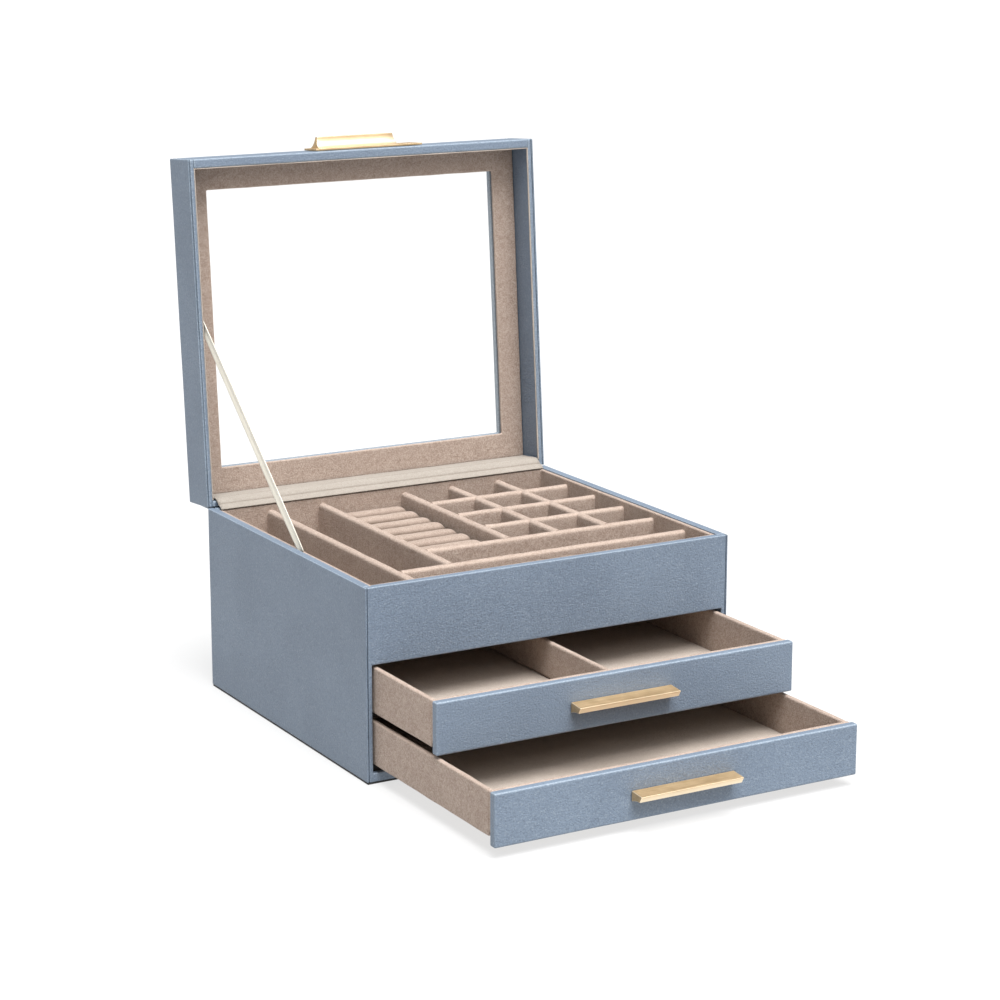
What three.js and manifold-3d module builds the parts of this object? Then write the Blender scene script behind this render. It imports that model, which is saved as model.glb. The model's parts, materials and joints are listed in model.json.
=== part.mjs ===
// Table-top jewellery box: a lined tray under a hinged glass lid, over two drawers.
// Millimetres, +Z up, front towards -Y. The origin is the centre of the base, on the surface it stands on.
import * as THREE from 'three';
import { mergeVertices } from 'three/addons/utils/BufferGeometryUtils.js';
import Module from 'manifold-3d';

// ---- driving dimensions ----
const caseWidth = 235;
const caseDepth = 208;
const caseHeight = 111.5;
const lidHeight = 27.5;
const lidOpenAngle = 94.4;
const upperDrawerOut = 71.8;
const lowerDrawerOut = 132.7;

const wall = 3.6; // wrapped board of the case and the lid
const gap = 0.3; // left between pieces that touch
const feltThickness = 1;
const feltInset = 1.5;

// heights of the case's levels
const boxBottom = feltThickness + gap;
const doorwayBottom = 6.2;
const doorwayTop = 67.8;
const floorTop = 9.8;
const shelfBottom = 37;
const shelfTop = 39.5;
const trayBottom = doorwayTop + gap;
const trayTop = 70.8;
const shelfSetback = 6; // the shelf and floor stop behind the drawer fronts

// lined tray
const liningThickness = 3.1;
const liningDrop = 0.5;
const partition = 4;
const partitionDrop = 4;
const sideLaneWidth = 29.5; // clear width of the lane beside the left wall
const middleLaneWidth = 30.5;
const ringZoneWidth = 53;
const frontLaneDepth = 27;
const secondLaneDepth = 30;
const gridColumns = 3;
const gridRows = 4;
const ringRollCount = 8;
const ringRollDrop = 10;

// drawers
const drawerFrontThickness = 5;
const drawerBoard = 3;
const drawerFloorThickness = 2.2;
const drawerSideClearance = 1.6;
const drawerBackClearance = 2;
const frontClearance = 0.5;
const upperFrontBottom = 37.4;
const upperFrontTop = 66.5;
const lowerFrontBottom = 6.5;
const lowerFrontTop = 35.6;
const drawerDividerDrop = 2.5;

// lid, with depths measured from its rim
const lidFrontWall = 5.4;
const liningPanelDepth = 19.5;
const liningPanelThickness = 2.2;
const glassThickness = 1.7;
const windowSide = 19.25; // from the lid's side to the window
const windowBack = 20.2; // from the lid's back to the window
const windowFront = 19.7;
const frameLip = 1; // the outer frame's opening is this much wider than the lining's
const glassOverlap = 8; // how far the glass runs behind the frame
const lidRimGap = 0.3;

// pulls and their screws
const drawerPullLength = 64;
const drawerPullReach = 10;
const drawerPullFoot = 6; // height where it meets the drawer
const drawerPullNose = 3.5; // height of its front face
const drawerPullSlope = 0.9; // drop of its top towards the front
const drawerPullUndercut = 2; // how far its front face leans back
const drawerPullRise = 2.2; // of its top over the middle of the drawer's front
const lidPullLeft = -31; // the plate's ends
const lidPullRight = 41.5;
const lidPullWidth = 17;
const lidPullPlate = 1.2;
const lidPullRidge = 54;
const lidPullMiddle = -1; // of the ridge
const lidPullHeight = 8;
const lidPullTip = 2.2; // thickness of the ridge at its top
const lidPullMargin = 2; // plate left bare on each side of the ridge
const lidPullCurve = 1.5; // height over the plate where the ridge's sides bend
const drawerScrewBite = 4; // depth of a screw in its pull
const lidScrewBite = 3;
const drawerScrewSpacing = 44;
const lidScrewSpacing = 36;
const screwHeadRadius = 2.6;
const screwHeadHeight = 1.4;
const screwHeadTaper = 0.8; // the head's top radius, as a share of its widest
const screwRadius = 1.2;
const screwSegments = 20;

// soft hinge and stay
const clothThickness = 0.6;
const clothInset = 3;
const clothBend = 2; // where the inner strip bends, in from the hinge line and up from the case
const clothCover = 17.5; // length of the inner strip on the lid
const clothLap = 0.4; // how far the inner strip reaches over the tray lining
const coverLength = 18; // of the outer strip, on the lid and on the case
const coverStandOff = 1.5; // of the outer strip from the open lid's rim
const coverBend = 3; // where the outer strip leaves the case, and meets the lid
const stayWidth = 5.8;
const stayThickness = 0.6;
const stayLidDistance = 110; // along the lid from its hinge
const stayLidDepth = 5;
const stayCaseDistance = 117; // from the back of the case, where its line meets the rim
const stayShort = 4; // how far the ribbon stops before that
const stayInset = 1.5; // from the inside of the left wall

// ---- what follows from them ----
const halfWidth = caseWidth / 2;
const halfDepth = caseDepth / 2;
const trayX = halfWidth - wall - gap - liningThickness;
const trayY = halfDepth - wall - gap - liningThickness;
const partitionTop = caseHeight - partitionDrop;
const trayFloorZ = trayTop + gap;
const drawerLength = caseDepth - wall - drawerBackClearance;

const wasm = await Module();
wasm.setup();

const finishes = {
  leather: { color: 0x8394a7, roughness: 0.55, metalness: 0 },
  velvet: { color: 0xb9a595, roughness: 0.95, metalness: 0 },
  foam: { color: 0xc4b2a2, roughness: 0.95, metalness: 0 },
  board: { color: 0x2b2b2e, roughness: 0.9, metalness: 0 },
  brass: { color: 0xd9b778, roughness: 0.3, metalness: 1 },
  glass: { color: 0xeaf2f2, roughness: 0.05, metalness: 0, transparent: true, opacity: 0.3 },
  satin: { color: 0xece0c4, roughness: 0.45, metalness: 0 },
};

function named(name, geometry, finish) {
  const mesh = new THREE.Mesh(geometry, new THREE.MeshStandardMaterial(finishes[finish]));
  mesh.name = name;
  return mesh;
}

// a box between two corners
function block([x0, y0, z0], [x1, y1, z1]) {
  const geometry = new THREE.BoxGeometry(x1 - x0, y1 - y0, z1 - z0);
  geometry.translate((x0 + x1) / 2, (y0 + y1) / 2, (z0 + z1) / 2);
  return geometry;
}

function toSolid(geometry) {
  const bare = geometry.clone();
  bare.deleteAttribute('normal');
  bare.deleteAttribute('uv');
  const merged = mergeVertices(bare);
  return new wasm.Manifold(new wasm.Mesh({
    numProp: 3,
    vertProperties: new Float32Array(merged.attributes.position.array),
    triVerts: new Uint32Array(merged.index.array),
  }));
}

function toGeometry(solid) {
  const { vertProperties, triVerts } = solid.getMesh();
  const geometry = new THREE.BufferGeometry();
  geometry.setAttribute('position', new THREE.BufferAttribute(vertProperties, 3));
  geometry.setIndex(new THREE.BufferAttribute(triVerts, 1));
  const faceted = geometry.toNonIndexed();
  faceted.computeVertexNormals();
  return faceted;
}

// the first shape less all the others
function cut(body, ...tools) {
  const left = tools.reduce((solid, tool) => solid.subtract(toSolid(tool)), toSolid(body));
  return toGeometry(left);
}

// an outline in the YZ plane run along X, centred on x = 0
function alongX(outline, length, curveSegments = 8) {
  const geometry = new THREE.ExtrudeGeometry(outline, { depth: length, bevelEnabled: false, curveSegments });
  geometry.rotateX(Math.PI / 2);
  geometry.rotateZ(Math.PI / 2);
  geometry.translate(-length / 2, 0, 0);
  return geometry;
}

// ---- case ----
function frontFrame() {
  const plate = block([-halfWidth, -halfDepth, boxBottom], [halfWidth, wall - halfDepth, caseHeight]);
  const doorway = block(
    [wall - halfWidth, -halfDepth - 1, doorwayBottom],
    [halfWidth - wall, wall - halfDepth + 1, doorwayTop],
  );
  return named('front_frame', cut(plate, doorway), 'leather');
}

function sidePanel(name, side) {
  const inner = side * (halfWidth - wall);
  const outer = side * halfWidth;
  const low = [Math.min(inner, outer), wall + gap - halfDepth, boxBottom];
  const high = [Math.max(inner, outer), halfDepth, caseHeight];
  return named(name, block(low, high), 'leather');
}

// a board that fills the inside of the case at one level
function innerBoard(name, front, back, bottom, top, finish) {
  const side = halfWidth - wall - gap;
  return named(name, block([-side, front, bottom], [side, back, top]), finish);
}

function trayLining() {
  const outerX = trayX + liningThickness;
  const outerY = trayY + liningThickness;
  const top = caseHeight - liningDrop;
  const ring = cut(
    block([-outerX, -outerY, trayFloorZ], [outerX, outerY, top]),
    block([-trayX, -trayY, trayFloorZ - 1], [trayX, trayY, top + 1]),
  );
  return named('tray_lining', ring, 'velvet');
}

function makeCase() {
  const group = new THREE.Group();
  const setback = shelfSetback - halfDepth;
  const behindFrame = wall + gap - halfDepth;
  const beforeBack = halfDepth - wall - gap;
  group.add(frontFrame());
  group.add(sidePanel('side_panel_left', -1));
  group.add(sidePanel('side_panel_right', 1));
  group.add(innerBoard('back_panel', halfDepth - wall, halfDepth, boxBottom, caseHeight, 'leather'));
  group.add(innerBoard('bottom_panel', setback, beforeBack, boxBottom, floorTop, 'board'));
  group.add(innerBoard('drawer_shelf', setback, beforeBack, shelfBottom, shelfTop, 'board'));
  group.add(innerBoard('tray_floor', behindFrame, beforeBack, trayBottom, trayTop, 'velvet'));
  const feltX = halfWidth - feltInset;
  const feltY = halfDepth - feltInset;
  group.add(named('base_felt', block([-feltX, -feltY, 0], [feltX, feltY, feltThickness]), 'board'));
  group.add(trayLining());
  return group;
}

// ---- tray partitions ----
// centre lines of the partitions, from the lanes' clear sizes
const leftLaneX = -trayX + sideLaneWidth + partition / 2;
const middleLaneX = leftLaneX + middleLaneWidth + partition;
const ringZoneX = middleLaneX + ringZoneWidth + partition;
const frontLaneY = -trayY + frontLaneDepth + partition / 2;
const secondLaneY = frontLaneY + secondLaneDepth + partition;
const columnPitch = (trayX + partition / 2 - ringZoneX) / gridColumns;
const rowPitch = (trayY + partition / 2 - secondLaneY) / gridRows;
const clear = partition / 2 + gap;

function partitionAlongY(x, front, back) {
  const half = partition / 2;
  return block([x - half, front, trayFloorZ], [x + half, back, partitionTop]);
}

function partitionAlongX(y, left, right) {
  const half = partition / 2;
  return block([left, y - half, trayFloorZ], [right, y + half, partitionTop]);
}

// crossing partitions are halved into each other: one is slotted from above, the other from below
function slotAt(x, y, fromAbove) {
  const half = partition / 2 + gap;
  const middle = (trayFloorZ + partitionTop) / 2;
  const low = fromAbove ? middle - gap / 2 : trayFloorZ - 1;
  const high = fromAbove ? partitionTop + 1 : middle + gap / 2;
  return block([x - half, y - half, low], [x + half, y + half, high]);
}

function makePartitions() {
  const group = new THREE.Group();
  const right = trayX - gap;
  const back = trayY - gap;
  const gridFront = secondLaneY + clear;
  const columns = Array.from({ length: gridColumns - 1 }, (_, i) => ringZoneX + (i + 1) * columnPitch);
  const rows = Array.from({ length: gridRows - 1 }, (_, i) => secondLaneY + (i + 1) * rowPitch);

  const add = (name, geometry) => group.add(named(name, geometry, 'velvet'));
  add('partition_left_lane', partitionAlongY(leftLaneX, gap - trayY, back));
  add('partition_middle_lane', partitionAlongY(middleLaneX, frontLaneY + clear, back));
  add('partition_ring_zone', partitionAlongY(ringZoneX, gridFront, back));
  add('partition_front_lane', partitionAlongX(frontLaneY, leftLaneX + clear, right));
  add('partition_second_lane', partitionAlongX(secondLaneY, middleLaneX + clear, right));
  columns.forEach((x, i) => {
    const slots = rows.map((y) => slotAt(x, y, true));
    add(`partition_column_${i + 1}`, cut(partitionAlongY(x, gridFront, back), ...slots));
  });
  rows.forEach((y, i) => {
    const slots = columns.map((x) => slotAt(x, y, false));
    add(`partition_row_${i + 1}`, cut(partitionAlongX(y, ringZoneX + clear, right), ...slots));
  });
  return group;
}

// foam rolls that hold rings between them, round on top
function makeRingRolls() {
  const group = new THREE.Group();
  const front = secondLaneY + partition / 2;
  const pitch = (trayY - front) / ringRollCount;
  const radius = (pitch - gap) / 2;
  const length = ringZoneWidth - 2 * gap;
  const middle = (middleLaneX + ringZoneX) / 2;
  const crown = caseHeight - ringRollDrop - radius;
  for (let i = 0; i < ringRollCount; i += 1) {
    const y = trayY - (i + 0.5) * pitch;
    const outline = new THREE.Shape();
    outline.moveTo(y - radius, trayFloorZ);
    outline.lineTo(y + radius, trayFloorZ);
    outline.lineTo(y + radius, crown);
    outline.absarc(y, crown, radius, 0, Math.PI, false);
    outline.closePath();
    const roll = alongX(outline, length, 10);
    roll.translate(middle, 0, 0);
    group.add(named(`ring_roll_${i + 1}`, roll, 'foam'));
  }
  return group;
}

// ---- pulls ----
// the outline of a drawer pull: a bar with a sloping top, an undercut front and a hollowed underside
function drawerPullOutline() {
  const outline = new THREE.Shape();
  const noseFoot = drawerPullUndercut - drawerPullReach;
  const noseBottom = -drawerPullSlope - drawerPullNose;
  outline.moveTo(0, 0);
  outline.lineTo(0, -drawerPullFoot);
  outline.quadraticCurveTo(noseFoot / 2, noseBottom, noseFoot, noseBottom);
  outline.lineTo(-drawerPullReach, -drawerPullSlope);
  outline.closePath();
  return outline;
}

function drawerPull(name, frontY, z) {
  const bar = alongX(drawerPullOutline(), drawerPullLength, 6);
  bar.translate(0, frontY - gap, z + drawerPullFoot / 2);
  return named(name, bar, 'brass');
}

// a plate with a concave-sided ridge, its outline in the lid's own YZ plane
function lidPull() {
  const half = lidPullWidth / 2;
  const foot = half - lidPullMargin;
  const tip = lidPullTip / 2;
  const bend = lidPullPlate + lidPullCurve;
  const plate = alongX(new THREE.Shape([
    new THREE.Vector2(0, -half),
    new THREE.Vector2(0, half),
    new THREE.Vector2(-lidPullPlate, half),
    new THREE.Vector2(-lidPullPlate, -half),
  ]), lidPullRight - lidPullLeft);
  plate.translate((lidPullRight + lidPullLeft) / 2, 0, 0);
  const outline = new THREE.Shape();
  outline.moveTo(-lidPullPlate / 2, -foot);
  outline.lineTo(-lidPullPlate / 2, foot);
  outline.lineTo(-lidPullPlate, foot);
  outline.quadraticCurveTo(-bend, lidPullTip, -lidPullHeight, tip);
  outline.lineTo(-lidPullHeight, -tip);
  outline.quadraticCurveTo(-bend, -lidPullTip, -lidPullPlate, -foot);
  outline.closePath();
  const ridge = alongX(outline, lidPullRidge, 6);
  ridge.translate(lidPullMiddle, 0, 0);
  return toGeometry(toSolid(plate).add(toSolid(ridge)));
}

// a pan-head screw along Y, its point at y = 0 and its head towards +Y
function screw(length) {
  const profile = [
    new THREE.Vector2(0, 0),
    new THREE.Vector2(screwRadius, 0),
    new THREE.Vector2(screwRadius, length),
    new THREE.Vector2(screwHeadRadius, length),
    new THREE.Vector2(screwHeadRadius * screwHeadTaper, length + screwHeadHeight),
    new THREE.Vector2(0, length + screwHeadHeight),
  ];
  return new THREE.LatheGeometry(profile, screwSegments);
}

function screwHole(x, y0, y1, z, radius = screwRadius) {
  const hole = new THREE.CylinderGeometry(radius + gap, radius + gap, y1 - y0, screwSegments);
  hole.translate(x, (y0 + y1) / 2, z);
  return hole;
}

const screwPlaces = [-drawerScrewSpacing / 2, drawerScrewSpacing / 2];
const lidScrewPlaces = [lidPullMiddle - lidScrewSpacing / 2, lidPullMiddle + lidScrewSpacing / 2];

// ---- drawers ----
// out: how far the drawer stands open; bottom and top: the heights of its front
function makeDrawer(prefix, out, bottom, top, floorBottom) {
  const group = new THREE.Group();
  const add = (name, geometry, finish) => group.add(named(`${prefix}_${name}`, geometry, finish));
  const front = -halfDepth - out;
  const inside = front + drawerFrontThickness + gap;
  const back = front + drawerLength;
  const faceX = halfWidth - wall - frontClearance;
  const boxX = halfWidth - wall - drawerSideClearance;
  const boxTop = top - gap;
  const sideBottom = floorBottom + drawerFloorThickness + gap;
  const pullZ = (bottom + top - drawerPullFoot) / 2 + drawerPullRise;
  const panelBack = front + drawerFrontThickness;
  const innerBack = inside + drawerBoard;

  const faceHoles = screwPlaces.map((x) => screwHole(x, front - 1, panelBack + 1, pullZ));
  add('front', cut(block([-faceX, front, bottom], [faceX, panelBack, top]), ...faceHoles), 'leather');
  const innerHoles = screwPlaces.map((x) => screwHole(x, inside - 1, innerBack + 1, pullZ));
  const innerFront = block([-boxX, inside, sideBottom], [boxX, innerBack, boxTop]);
  add('inner_front', cut(innerFront, ...innerHoles), 'velvet');
  add('floor', block([-boxX, inside, floorBottom], [boxX, back, sideBottom - gap]), 'velvet');
  add('back', block([-boxX, back - drawerBoard, sideBottom], [boxX, back, boxTop]), 'velvet');
  for (const [name, side] of [['side_left', -1], ['side_right', 1]]) {
    const x0 = side < 0 ? -boxX : boxX - drawerBoard;
    const low = [x0, innerBack + gap, sideBottom];
    const high = [x0 + drawerBoard, back - drawerBoard - gap, boxTop];
    add(name, block(low, high), 'velvet');
  }
  // the pull is blind-drilled for its screws, which come through both front boards
  const point = front - gap - drawerScrewBite;
  const pull = drawerPull(`${prefix}_pull`, front, pullZ);
  const threads = screwPlaces.map((x) => screwHole(x, point - gap, front + 1, pullZ));
  pull.geometry = cut(pull.geometry, ...threads);
  group.add(pull);
  screwPlaces.forEach((x, i) => {
    const shank = screw(innerBack + gap - point);
    shank.translate(x, point, pullZ);
    add(`pull_screw_${i + 1}`, shank, 'brass');
  });
  return group;
}

function upperDrawerDivider(drawer) {
  const front = -halfDepth - upperDrawerOut + drawerFrontThickness + gap + drawerBoard + gap;
  const back = -halfDepth - upperDrawerOut + drawerLength - drawerBoard - gap;
  const bottom = shelfTop + gap + drawerFloorThickness + gap;
  const half = drawerBoard / 2;
  const divider = block([-half, front, bottom], [half, back, upperFrontTop - drawerDividerDrop]);
  drawer.add(named('upper_drawer_divider', divider, 'velvet'));
}

// ---- lid ----
// built closed, with the hinge line along X through its own origin and the front towards -Y
function makeLid() {
  const group = new THREE.Group();
  const add = (name, geometry, finish) => group.add(named(name, geometry, finish));
  const rim = lidRimGap / 2;
  const topUnder = rim + lidHeight - wall;
  const top = rim + lidHeight;
  const front = -caseDepth;
  const sideX = halfWidth - wall - gap;
  const frontInner = front + lidFrontWall;
  const pullZ = rim + lidHeight / 2;

  // the screws' heads are sunk into the front wall
  const pocketFloor = frontInner - screwHeadHeight - gap;
  const pullHoles = lidScrewPlaces.flatMap((x) => [
    screwHole(x, front - 1, frontInner + 1, pullZ),
    screwHole(x, pocketFloor, frontInner + 1, pullZ, screwHeadRadius),
  ]);
  const frontWall = block([-halfWidth, front, rim], [halfWidth, frontInner, topUnder - gap]);
  add('lid_front_wall', cut(frontWall, ...pullHoles), 'leather');
  add('lid_back_wall', block([-halfWidth, -wall, rim], [halfWidth, 0, topUnder - gap]), 'leather');
  for (const [name, side] of [['lid_left_wall', -1], ['lid_right_wall', 1]]) {
    const x0 = side < 0 ? -halfWidth : halfWidth - wall;
    const low = [x0, frontInner + gap, rim];
    const high = [x0 + wall, -wall - gap, topUnder - gap];
    add(name, block(low, high), 'leather');
  }
  const windowLow = [windowSide - halfWidth, windowFront - caseDepth];
  const windowHigh = [halfWidth - windowSide, -windowBack];
  const opening = (grow, z0, z1) => block(
    [windowLow[0] - grow, windowLow[1] - grow, z0 - 1],
    [windowHigh[0] + grow, windowHigh[1] + grow, z1 + 1],
  );
  const frame = block([-halfWidth, front, topUnder], [halfWidth, 0, top]);
  add('lid_top_frame', cut(frame, opening(frameLip, topUnder, top)), 'leather');

  const panelLow = rim + liningPanelDepth;
  const panelHigh = panelLow + liningPanelThickness;
  const panel = block([-sideX, frontInner + gap, panelLow], [sideX, -wall - gap, panelHigh]);
  add('lid_lining_panel', cut(panel, opening(0, panelLow, panelHigh)), 'velvet');
  const glassLow = panelHigh + gap;
  const glassX = halfWidth - windowSide + glassOverlap;
  const glassFront = windowFront - caseDepth - glassOverlap;
  const glassBack = glassOverlap - windowBack;
  const glass = block([-glassX, glassFront, glassLow], [glassX, glassBack, glassLow + glassThickness]);
  add('window_glass', glass, 'glass');

  const point = front - gap - lidScrewBite;
  const pullGeometry = lidPull();
  pullGeometry.translate(0, front - gap, pullZ);
  const threads = lidScrewPlaces.map((x) => screwHole(x, point - gap, front + 1, pullZ));
  add('lid_pull', cut(pullGeometry, ...threads), 'brass');
  lidScrewPlaces.forEach((x, i) => {
    const shank = screw(pocketFloor + gap - point);
    shank.translate(x, point, pullZ);
    add(`lid_pull_screw_${i + 1}`, shank, 'brass');
  });
  group.position.set(0, halfDepth, caseHeight + rim);
  group.rotation.x = -THREE.MathUtils.degToRad(lidOpenAngle);
  return group;
}

// ---- soft pieces across the hinge ----
// a point of the open lid from its distance along the lid and its depth from the rim
function onOpenLid(along, depth) {
  const angle = THREE.MathUtils.degToRad(lidOpenAngle);
  const rim = lidRimGap / 2;
  const y = halfDepth - along * Math.cos(angle) + (depth + rim) * Math.sin(angle);
  const z = caseHeight + rim + along * Math.sin(angle) + (depth + rim) * Math.cos(angle);
  return new THREE.Vector2(y, z);
}

// a strip of even thickness to the left of a run of points in the YZ plane
function stripOutline(points, thickness) {
  const far = points.map((point, i) => {
    const before = points[Math.max(i - 1, 0)];
    const after = points[Math.min(i + 1, points.length - 1)];
    const along = after.clone().sub(before).normalize();
    return point.clone().add(new THREE.Vector2(-along.y, along.x).multiplyScalar(thickness));
  });
  return new THREE.Shape([...points, ...far.reverse()]);
}

function makeSoftPieces() {
  const group = new THREE.Group();
  const width = 2 * (halfWidth - wall - clothInset);
  const overCloth = caseHeight + gap;
  const cloth = stripOutline([
    onOpenLid(wall + gap, clothCover),
    onOpenLid(wall + gap, -2 * gap),
    new THREE.Vector2(halfDepth - clothBend, overCloth + clothBend / 2),
    new THREE.Vector2(trayY + clothLap, overCloth),
  ], -clothThickness);
  group.add(named('hinge_cloth', alongX(cloth, width), 'velvet'));

  const cover = stripOutline([
    new THREE.Vector2(halfDepth + gap, caseHeight - coverLength),
    new THREE.Vector2(halfDepth + gap, caseHeight - coverBend),
    onOpenLid(-coverStandOff, coverBend + gap),
    onOpenLid(-gap, coverLength),
  ], -clothThickness);
  group.add(named('hinge_cover', alongX(cover, caseWidth - 2 * clothInset), 'leather'));

  // a flat ribbon from the lid's left wall down to the top of the tray's left lining
  const lidEnd = onOpenLid(stayLidDistance, stayLidDepth);
  const stayX = wall + gap + stayInset - halfWidth;
  const from = new THREE.Vector3(stayX, lidEnd.x, lidEnd.y);
  const to = new THREE.Vector3(stayX, halfDepth - stayCaseDistance, caseHeight);
  const along = to.clone().sub(from);
  const length = along.length() - stayShort;
  const middle = from.clone().addScaledVector(along.clone().normalize(), length / 2);
  const ribbon = new THREE.BoxGeometry(stayThickness, length, stayWidth);
  ribbon.rotateX(Math.atan2(along.z, along.y));
  ribbon.translate(...middle.toArray());
  group.add(named('stay_ribbon', ribbon, 'satin'));
  return group;
}

// ---- assembly ----
const jewelleryBox = new THREE.Group();
jewelleryBox.name = 'jewellery_box';
jewelleryBox.add(makeCase());
jewelleryBox.add(makePartitions());
jewelleryBox.add(makeRingRolls());
jewelleryBox.add(makeLid());
const upperFloor = shelfTop + gap;
const lowerFloor = floorTop + gap;
const upperDrawer = makeDrawer('upper_drawer', upperDrawerOut, upperFrontBottom, upperFrontTop, upperFloor);
upperDrawerDivider(upperDrawer);
jewelleryBox.add(upperDrawer);
jewelleryBox.add(makeDrawer('lower_drawer', lowerDrawerOut, lowerFrontBottom, lowerFrontTop, lowerFloor));
jewelleryBox.add(makeSoftPieces());

export default jewelleryBox;
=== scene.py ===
import itertools
import json
import math

import bmesh
import bpy
from mathutils import Matrix, Vector, noise


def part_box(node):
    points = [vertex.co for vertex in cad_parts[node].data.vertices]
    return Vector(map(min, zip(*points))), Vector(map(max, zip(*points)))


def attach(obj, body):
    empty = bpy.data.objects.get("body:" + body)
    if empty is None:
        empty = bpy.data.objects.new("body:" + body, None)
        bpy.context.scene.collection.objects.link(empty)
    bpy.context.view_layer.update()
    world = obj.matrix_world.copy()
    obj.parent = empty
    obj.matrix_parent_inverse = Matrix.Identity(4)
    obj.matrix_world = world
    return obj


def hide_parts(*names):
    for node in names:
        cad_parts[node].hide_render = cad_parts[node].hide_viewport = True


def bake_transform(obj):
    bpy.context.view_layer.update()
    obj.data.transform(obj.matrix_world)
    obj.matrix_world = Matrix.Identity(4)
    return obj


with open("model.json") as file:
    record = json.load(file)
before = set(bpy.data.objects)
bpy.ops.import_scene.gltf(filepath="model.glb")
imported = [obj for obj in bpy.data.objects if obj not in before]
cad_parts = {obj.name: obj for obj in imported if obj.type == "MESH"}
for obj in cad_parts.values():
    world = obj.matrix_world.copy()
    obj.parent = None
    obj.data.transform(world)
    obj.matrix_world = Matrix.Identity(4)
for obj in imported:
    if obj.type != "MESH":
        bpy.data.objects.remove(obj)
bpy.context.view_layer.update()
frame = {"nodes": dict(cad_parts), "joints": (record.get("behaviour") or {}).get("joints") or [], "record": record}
mm = 0.001
scene = bpy.context.scene
bodyOf = {node: body for body, nodes in frame["record"]["behaviour"]["bodies"].items() for node in nodes}
slotOf = {row["node"]: row["material_slot"] for row in frame["record"]["subparts"]}
hinge = next(joint for joint in frame["joints"] if joint["name"] == "lid_hinge")
hingePoint = Vector(hinge["pos_m"])
openLid = (
    Matrix.Translation(hingePoint)
    @ Matrix.Rotation(-math.radians(hinge["range_deg"][1]), 4, "X")
    @ Matrix.Translation(-hingePoint)
)
shutLid = openLid.inverted()


# a node's corners with the lid shut, where the lid's pieces lie square
def shutBox(node):
    points = [shutLid @ v.co for v in frame["nodes"][node].data.vertices]
    low = Vector([min(p[i] for p in points) for i in range(3)])
    high = Vector([max(p[i] for p in points) for i in range(3)])
    return low, high


# camera, light and floor
studio = {
    "aim": (0.02513, 0.0, 0.12134),
    "azimuth": -29.77,
    "elevation": 13.61,
    "distance": 1.60985,
    "lens": 97.75,
    "sensor": 36,
    "sky": 0.42,
    "lampAim": (0, 0, 0.1),
    "floor": 0.21,
    "floorGlow": 0.68,
    "floorReach": 12,
    "sun": 5.7,
    "sunSpread": 44,
    "sunFrom": (-0.03, -0.37, 1.0),
}


def aimed(obj, target):
    obj.rotation_euler = (Vector(target) - obj.location).to_track_quat("-Z", "Y").to_euler()


def makeCamera():
    cameraData = bpy.data.cameras.new("camera")
    camera = bpy.data.objects.new("camera", cameraData)
    scene.collection.objects.link(camera)
    azimuth, elevation = math.radians(studio["azimuth"]), math.radians(studio["elevation"])
    back = Vector((
        math.sin(azimuth) * math.cos(elevation),
        -math.cos(azimuth) * math.cos(elevation),
        math.sin(elevation),
    ))
    camera.location = Vector(studio["aim"]) + back * studio["distance"]
    aimed(camera, studio["aim"])
    cameraData.sensor_width = studio["sensor"]
    cameraData.lens = studio["lens"]
    cameraData.clip_start, cameraData.clip_end = 0.01, 50
    scene.camera = camera


softLights = {
    "keyLight": {"place": (0.3, -1.9, 1.6), "size": 1.2, "watts": 13, "tint": (1.0, 0.985, 0.965)},
    "rimLight": {"place": (-0.5, 1.5, 1.8), "size": 1.2, "watts": 5, "tint": (0.97, 0.985, 1.0)},
}


def makeLights():
    for name, light in softLights.items():
        lightData = bpy.data.lights.new(name, "AREA")
        lightData.shape = "DISK"
        lightData.size = light["size"]
        lightData.energy = light["watts"]
        lightData.color = light["tint"]
        lamp = bpy.data.objects.new(name, lightData)
        scene.collection.objects.link(lamp)
        lamp.location = light["place"]
        aimed(lamp, studio["lampAim"])
    sunData = bpy.data.lights.new("topSun", "SUN")
    sunData.energy = studio["sun"]
    sunData.angle = math.radians(studio["sunSpread"])
    sun = bpy.data.objects.new("topSun", sunData)
    scene.collection.objects.link(sun)
    sun.location = studio["sunFrom"]
    aimed(sun, (0, 0, 0))
    world = bpy.data.worlds.new("paleRoom")
    world.use_nodes = True
    background = world.node_tree.nodes["Background"]
    background.inputs["Color"].default_value = (1, 1, 1, 1)
    background.inputs["Strength"].default_value = studio["sky"]
    scene.world = world
    scene.view_settings.view_transform = "Standard"


def makeFloor():
    reach = studio["floorReach"]
    floorMesh = bpy.data.meshes.new("floor")
    corners = [(-reach, -reach, 0), (reach, -reach, 0), (reach, reach, 0), (-reach, reach, 0)]
    floorMesh.from_pydata(corners, [], [(0, 1, 2, 3)])
    floor = bpy.data.objects.new("floor", floorMesh)
    scene.collection.objects.link(floor)
    paint = bpy.data.materials.new("floorPaint")
    paint.use_nodes = True
    shader = paint.node_tree.nodes["Principled BSDF"]
    shader.inputs["Base Color"].default_value = (studio["floor"], studio["floor"], studio["floor"], 1)
    shader.inputs["Roughness"].default_value = 0.9
    shader.inputs["Specular IOR Level"].default_value = 0.0
    shader.inputs["Emission Color"].default_value = (1, 1, 1, 1)
    shader.inputs["Emission Strength"].default_value = studio["floorGlow"]
    floorMesh.materials.append(paint)


makeCamera()
makeLights()
makeFloor()
print("studio ready")


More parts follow.
